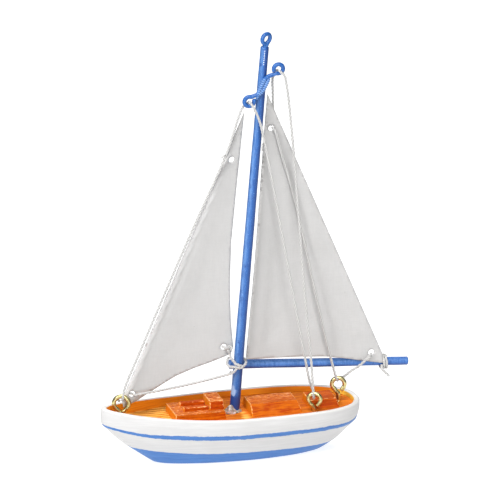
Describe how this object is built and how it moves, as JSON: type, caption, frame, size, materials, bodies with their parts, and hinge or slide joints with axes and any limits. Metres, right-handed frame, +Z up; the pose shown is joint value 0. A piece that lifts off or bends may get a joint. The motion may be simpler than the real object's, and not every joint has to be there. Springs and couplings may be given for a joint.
{
  "type": "model sailing ship",
  "caption": "Small decorative sailing boat with a painted hull, deck houses, mast and boom, cloth mainsail and jib, and string rigging through screw eyes.",
  "frame": {"origin": "middle of the flat base under the hull, amidships", "axes": "+Z up; +X towards the stern, so the bow points to -X; +Y to starboard"},
  "size_m": [0.1268, 0.0364, 0.1762],
  "materials": {
    "hull_paint": "hand-painted satin white with a blue stripe and a blue bottom",
    "deck_paint": "orange stain with a planked grain",
    "cabin_paint": "red-orange paint, worn pale at the edges",
    "spar_paint": "hand-painted blue",
    "eye_paint": "blue paint over screw-eye wire",
    "brass": "bright brass plate",
    "sail_cloth": "stiffened woven cotton",
    "string": "twisted cotton string",
    "glue": "cloudy dried glue"
  },
  "bodies": {
    "boat": {"hull": "hull_paint", "deck": "deck_paint", "forward_cabin": "cabin_paint", "hatch_rail_port": "cabin_paint", "hatch_rail_starboard": "cabin_paint", "forward_hatch": "cabin_paint", "main_cabin": "cabin_paint", "aft_cabin": "cabin_paint", "mast": "spar_paint", "bow_screw_eye": "brass", "port_screw_eye": "brass", "stern_screw_eye": "brass", "masthead_eye": "eye_paint", "forestay_eye": "eye_paint", "backstay_eye": "eye_paint", "mast_glue": "glue", "standing_rigging": "string", "halyard_line": "string", "topping_line": "string", "mainsheet_line": "string", "tack_line": "string", "boom_lashing": "string", "jib_clew_tie": "string"},
    "boom_and_mainsail": {"boom": "spar_paint", "mainsail": "sail_cloth", "clew_lashing": "string"},
    "jib_sail": {"jib": "sail_cloth"}
  },
  "joints": [
    {"name": "boom_swing", "type": "hinge", "parent": "boat", "child": "boom_and_mainsail", "pos_m": [0.00195, 0, 0.0182], "axis": [0.0819, 0, 0.9966], "range_deg": [-7, 7], "deforming": ["halyard_line", "topping_line", "mainsheet_line", "boom_lashing"]},
    {"name": "jib_swing", "type": "hinge", "parent": "boat", "child": "jib_sail", "pos_m": [-0.0436, -0.0017, 0.032], "axis": [0.3955, 0.0097, 0.9184], "range_deg": [-5, 5], "deforming": ["tack_line", "jib_clew_tie"]}
  ]
}
